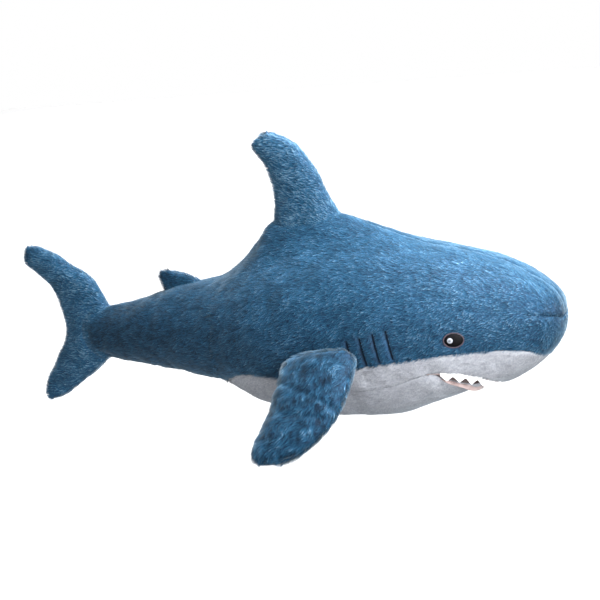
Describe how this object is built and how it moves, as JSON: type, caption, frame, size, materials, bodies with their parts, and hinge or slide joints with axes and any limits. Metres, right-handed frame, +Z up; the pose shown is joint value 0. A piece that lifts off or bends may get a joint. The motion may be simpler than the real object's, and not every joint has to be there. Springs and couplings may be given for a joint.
{
  "type": "plush shark",
  "caption": "Stuffed plush shark with a blue back, white underside, felt teeth and soft fins, resting on its belly.",
  "frame": {"origin": "on the resting surface, under the middle of the bounding box", "axes": "+X towards the nose along the body, +Y towards the shark's left side, +Z up"},
  "size_m": [1.0033, 0.5826, 0.48],
  "materials": {
    "plush_blue": "long-pile plush, brushed towards the tail",
    "plush_white": "short-pile plush",
    "felt_white": "pressed felt",
    "lining_pink": "smooth velour",
    "fibre_fill": "loose polyester fibre",
    "thread_black": "satin-stitch embroidery",
    "thread_tan": "satin-stitch embroidery",
    "thread_white": "satin-stitch embroidery",
    "thread_navy": "drawn-in stitching"
  },
  "bodies": {
    "body": {"body_stuffing": "fibre_fill", "back_panel_right": "plush_blue", "back_panel_left": "plush_blue", "belly_panel": "plush_white", "muzzle_panel_right": "plush_white", "muzzle_panel_left": "plush_white", "palate_lining": "lining_pink", "upper_teeth": "felt_white", "eye_patch_right": "thread_black", "eye_patch_left": "thread_black", "eye_rim_right": "thread_tan", "eye_rim_left": "thread_tan", "eye_highlight_right": "thread_white", "eye_highlight_left": "thread_white", "gill_stitches_right": "thread_navy", "gill_stitches_left": "thread_navy", "nose_dart_stitch": "thread_navy"},
    "jaw": {"jaw_stuffing": "fibre_fill", "jaw_panel": "plush_white", "jaw_lining": "lining_pink"},
    "tail": {"tail_stuffing": "fibre_fill", "tail_panel_right": "plush_blue", "tail_panel_left": "plush_blue"},
    "second_dorsal_fin": {"second_dorsal_stuffing": "fibre_fill", "second_dorsal_panel_right": "plush_blue", "second_dorsal_panel_left": "plush_blue"},
    "dorsal_fin": {"dorsal_stuffing": "fibre_fill", "dorsal_panel_right": "plush_blue", "dorsal_panel_left": "plush_blue"},
    "tail_fin": {"tail_fin_stuffing": "fibre_fill", "tail_fin_panel_right": "plush_blue", "tail_fin_panel_left": "plush_blue"},
    "flipper_right": {"flipper_stuffing_right": "fibre_fill", "flipper_top_right": "plush_blue", "flipper_underside_right": "plush_blue"},
    "flipper_left": {"flipper_stuffing_left": "fibre_fill", "flipper_top_left": "plush_blue", "flipper_underside_left": "plush_blue"}
  },
  "joints": [
    {"name": "jaw_open", "type": "hinge", "parent": "body", "child": "jaw", "pos_m": [0.308, 0, 0.102], "axis": [0, 1, 0], "range_deg": [-8, 10], "stiffness_Nm_per_rad": 0.8},
    {"name": "waist_bend", "type": "hinge", "parent": "body", "child": "tail", "pos_m": [-0.19, 0, 0.14], "axis": [0, 0, 1], "range_deg": [-25, 25], "stiffness_Nm_per_rad": 1.2},
    {"name": "tail_fin_wag", "type": "hinge", "parent": "tail", "child": "tail_fin", "pos_m": [-0.341, 0, 0.135], "axis": [0, 0, 1], "range_deg": [-25, 25], "stiffness_Nm_per_rad": 0.5},
    {"name": "second_dorsal_sway", "type": "hinge", "parent": "tail", "child": "second_dorsal_fin", "pos_m": [-0.182, 0, 0.226], "axis": [0.9725, 0, 0.2331], "range_deg": [-20, 20], "stiffness_Nm_per_rad": 0.1},
    {"name": "dorsal_sway", "type": "hinge", "parent": "body", "child": "dorsal_fin", "pos_m": [0.08, 0, 0.334], "axis": [1, 0, 0], "range_deg": [-20, 20], "stiffness_Nm_per_rad": 0.6},
    {"name": "flipper_right_lift", "type": "hinge", "parent": "body", "child": "flipper_right", "pos_m": [0.132, -0.161, 0.13], "axis": [-0.9846, 0.07, -0.1599], "range_deg": [-15, 70], "stiffness_Nm_per_rad": 0.7},
    {"name": "flipper_left_lift", "type": "hinge", "parent": "body", "child": "flipper_left", "pos_m": [0.132, 0.161, 0.13], "axis": [0.9846, 0.07, 0.1599], "range_deg": [-15, 70], "stiffness_Nm_per_rad": 0.7}
  ]
}
